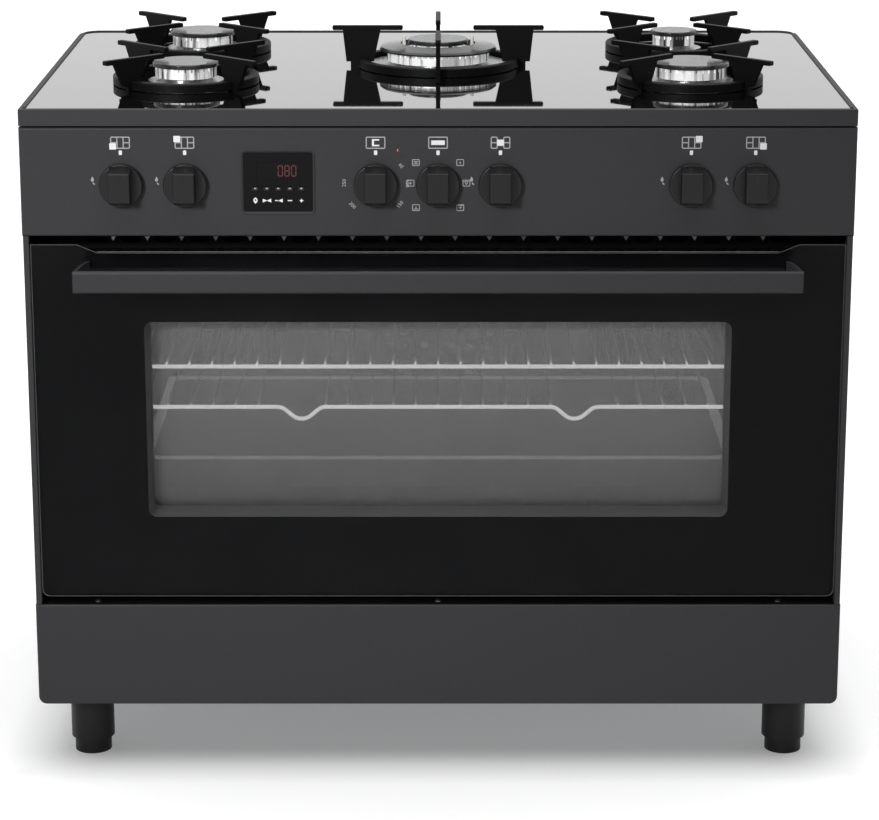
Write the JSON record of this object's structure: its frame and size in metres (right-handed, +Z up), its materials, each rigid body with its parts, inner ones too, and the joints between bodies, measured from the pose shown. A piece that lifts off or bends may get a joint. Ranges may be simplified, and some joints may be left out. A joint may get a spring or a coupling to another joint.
{
  "type": "range cooker",
  "caption": "Wide freestanding dual fuel range cooker: glass gas hob with cast pan supports, knob panel with timer, drop-down windowed oven door, plinth and round legs.",
  "frame": {"origin": "on the floor, under the middle of the outline including the handle", "axes": "+X to the right as seen from the front, +Y to the back, +Z up"},
  "size_m": [0.9, 0.662, 0.7993],
  "materials": {
    "anthracite": "satin anthracite paint",
    "galvanised": "plain zinc coated sheet",
    "black_enamel": "black enamel",
    "cavity_enamel": "grey oven enamel",
    "tray_enamel": "dark speckled enamel",
    "wool": "mineral wool",
    "bright_wire": "bright plated wire",
    "element_steel": "dark heat-tinted steel",
    "zinc_screw": "zinc plated",
    "hinge_steel": "plain steel",
    "fan_metal": "mill finish",
    "lamp_glass": "clear heat-proof glass",
    "seal_rubber": "black silicone",
    "hob_glass": "black polished glass",
    "door_glass": "black printed glass with a clear window",
    "inner_glass": "clear glass",
    "burner_base": "bright nickel",
    "burner_head": "machined",
    "burner_cap": "gloss black enamel",
    "probe": "white ceramic",
    "cast_iron": "matt black enamel",
    "tap_brass": "plain brass",
    "switch_plastic": "plain moulding",
    "timer_plastic": "gloss black",
    "button_plastic": "satin black",
    "knob_plastic": "soft satin black",
    "leg_plastic": "satin black"
  },
  "bodies": {
    "carcass": {"control_panel": "anthracite", "plinth_panel": "anthracite", "hob_tray": "anthracite", "side_panels": "anthracite", "rear_panel": "galvanised", "base_panel": "galvanised", "terminal_box": "galvanised", "front_frame": "black_enamel", "oven_cavity": "cavity_enamel", "fan_baffle": "cavity_enamel", "baking_tray": "tray_enamel", "oven_insulation": "wool", "wire_shelf": "bright_wire", "notched_shelf": "bright_wire", "heating_elements": "element_steel", "plinth_screws": "zinc_screw", "hinge_brackets": "hinge_steel", "fan_motor": "hinge_steel", "gas_pipework": "fan_metal", "oven_lamps": "lamp_glass", "door_gasket": "seal_rubber", "hob_glass": "hob_glass", "burner_cups": "burner_base", "burner_heads": "burner_head", "burner_caps": "burner_cap", "burner_probes": "probe", "gas_taps": "tap_brass", "oven_switches": "switch_plastic", "timer_case": "timer_plastic", "legs": "leg_plastic", "feet": "leg_plastic"},
    "door": {"door_outer_glass": "door_glass", "door_inner_glass": "inner_glass", "door_frame": "black_enamel", "door_hinge_arms": "hinge_steel", "door_handle": "anthracite", "handle_arms": "anthracite"},
    "fan": {"convection_fan": "fan_metal"},
    "spindle_front_left": {"spindle_front_left": "tap_brass"},
    "knob_front_left": {"knob_front_left": "knob_plastic"},
    "spindle_rear_left": {"spindle_rear_left": "tap_brass"},
    "knob_rear_left": {"knob_rear_left": "knob_plastic"},
    "spindle_centre": {"spindle_centre": "tap_brass"},
    "knob_centre": {"knob_centre": "knob_plastic"},
    "spindle_rear_right": {"spindle_rear_right": "tap_brass"},
    "knob_rear_right": {"knob_rear_right": "knob_plastic"},
    "spindle_front_right": {"spindle_front_right": "tap_brass"},
    "knob_front_right": {"knob_front_right": "knob_plastic"},
    "knob_thermostat": {"knob_thermostat": "knob_plastic"},
    "knob_selector": {"knob_selector": "knob_plastic"},
    "pan_support_front_left": {"pan_support_front_left": "cast_iron"},
    "pan_support_rear_left": {"pan_support_rear_left": "cast_iron"},
    "pan_support_centre": {"pan_support_centre": "cast_iron"},
    "pan_support_rear_right": {"pan_support_rear_right": "cast_iron"},
    "pan_support_front_right": {"pan_support_front_right": "cast_iron"},
    "timer_button_1": {"timer_button_1": "button_plastic"},
    "timer_button_2": {"timer_button_2": "button_plastic"},
    "timer_button_3": {"timer_button_3": "button_plastic"},
    "timer_button_4": {"timer_button_4": "button_plastic"},
    "timer_button_5": {"timer_button_5": "button_plastic"}
  },
  "joints": [
    {"name": "door_hinge", "type": "hinge", "parent": "carcass", "child": "door", "pos_m": [0, -0.249, 0.224], "axis": [1, 0, 0], "range_deg": [0, 90]},
    {"name": "fan_spin", "type": "hinge", "parent": "carcass", "child": "fan", "pos_m": [0, 0.2, 0.4], "axis": [0, 1, 0], "continuous": true},
    {"name": "knob_front_left_turn", "type": "hinge", "parent": "carcass", "child": "spindle_front_left", "pos_m": [-0.341, -0.269, 0.67015], "axis": [0, -1, 0], "range_deg": [0, 210]},
    {"name": "knob_front_left_push", "type": "slide", "parent": "spindle_front_left", "child": "knob_front_left", "axis": [0, 1, 0], "range_m": [0, 0.003], "stiffness_N_per_m": 800},
    {"name": "knob_rear_left_turn", "type": "hinge", "parent": "carcass", "child": "spindle_rear_left", "pos_m": [-0.272, -0.269, 0.67015], "axis": [0, -1, 0], "range_deg": [0, 210]},
    {"name": "knob_rear_left_push", "type": "slide", "parent": "spindle_rear_left", "child": "knob_rear_left", "axis": [0, 1, 0], "range_m": [0, 0.003], "stiffness_N_per_m": 800},
    {"name": "knob_centre_turn", "type": "hinge", "parent": "carcass", "child": "spindle_centre", "pos_m": [0.067, -0.269, 0.67015], "axis": [0, -1, 0], "range_deg": [0, 210]},
    {"name": "knob_centre_push", "type": "slide", "parent": "spindle_centre", "child": "knob_centre", "axis": [0, 1, 0], "range_m": [0, 0.003], "stiffness_N_per_m": 800},
    {"name": "knob_rear_right_turn", "type": "hinge", "parent": "carcass", "child": "spindle_rear_right", "pos_m": [0.272, -0.269, 0.67015], "axis": [0, -1, 0], "range_deg": [0, 210]},
    {"name": "knob_rear_right_push", "type": "slide", "parent": "spindle_rear_right", "child": "knob_rear_right", "axis": [0, 1, 0], "range_m": [0, 0.003], "stiffness_N_per_m": 800},
    {"name": "knob_front_right_turn", "type": "hinge", "parent": "carcass", "child": "spindle_front_right", "pos_m": [0.341, -0.269, 0.67015], "axis": [0, -1, 0], "range_deg": [0, 210]},
    {"name": "knob_front_right_push", "type": "slide", "parent": "spindle_front_right", "child": "knob_front_right", "axis": [0, 1, 0], "range_m": [0, 0.003], "stiffness_N_per_m": 800},
    {"name": "knob_thermostat_turn", "type": "hinge", "parent": "carcass", "child": "knob_thermostat", "pos_m": [-0.067, -0.269, 0.67015], "axis": [0, 1, 0], "range_deg": [0, 270]},
    {"name": "knob_selector_turn", "type": "hinge", "parent": "carcass", "child": "knob_selector", "pos_m": [0, -0.269, 0.67015], "axis": [0, 1, 0], "range_deg": [0, 315]},
    {"name": "pan_support_front_left_lift", "type": "slide", "parent": "carcass", "child": "pan_support_front_left", "axis": [0, 0, 1], "range_m": [0, 0.06]},
    {"name": "pan_support_rear_left_lift", "type": "slide", "parent": "carcass", "child": "pan_support_rear_left", "axis": [0, 0, 1], "range_m": [0, 0.06]},
    {"name": "pan_support_centre_lift", "type": "slide", "parent": "carcass", "child": "pan_support_centre", "axis": [0, 0, 1], "range_m": [0, 0.06]},
    {"name": "pan_support_rear_right_lift", "type": "slide", "parent": "carcass", "child": "pan_support_rear_right", "axis": [0, 0, 1], "range_m": [0, 0.06]},
    {"name": "pan_support_front_right_lift", "type": "slide", "parent": "carcass", "child": "pan_support_front_right", "axis": [0, 0, 1], "range_m": [0, 0.06]},
    {"name": "timer_button_1_press", "type": "slide", "parent": "carcass", "child": "timer_button_1", "axis": [0, 1, 0], "range_m": [0, 0.0012], "stiffness_N_per_m": 500},
    {"name": "timer_button_2_press", "type": "slide", "parent": "carcass", "child": "timer_button_2", "axis": [0, 1, 0], "range_m": [0, 0.0012], "stiffness_N_per_m": 500},
    {"name": "timer_button_3_press", "type": "slide", "parent": "carcass", "child": "timer_button_3", "axis": [0, 1, 0], "range_m": [0, 0.0012], "stiffness_N_per_m": 500},
    {"name": "timer_button_4_press", "type": "slide", "parent": "carcass", "child": "timer_button_4", "axis": [0, 1, 0], "range_m": [0, 0.0012], "stiffness_N_per_m": 500},
    {"name": "timer_button_5_press", "type": "slide", "parent": "carcass", "child": "timer_button_5", "axis": [0, 1, 0], "range_m": [0, 0.0012], "stiffness_N_per_m": 500}
  ]
}
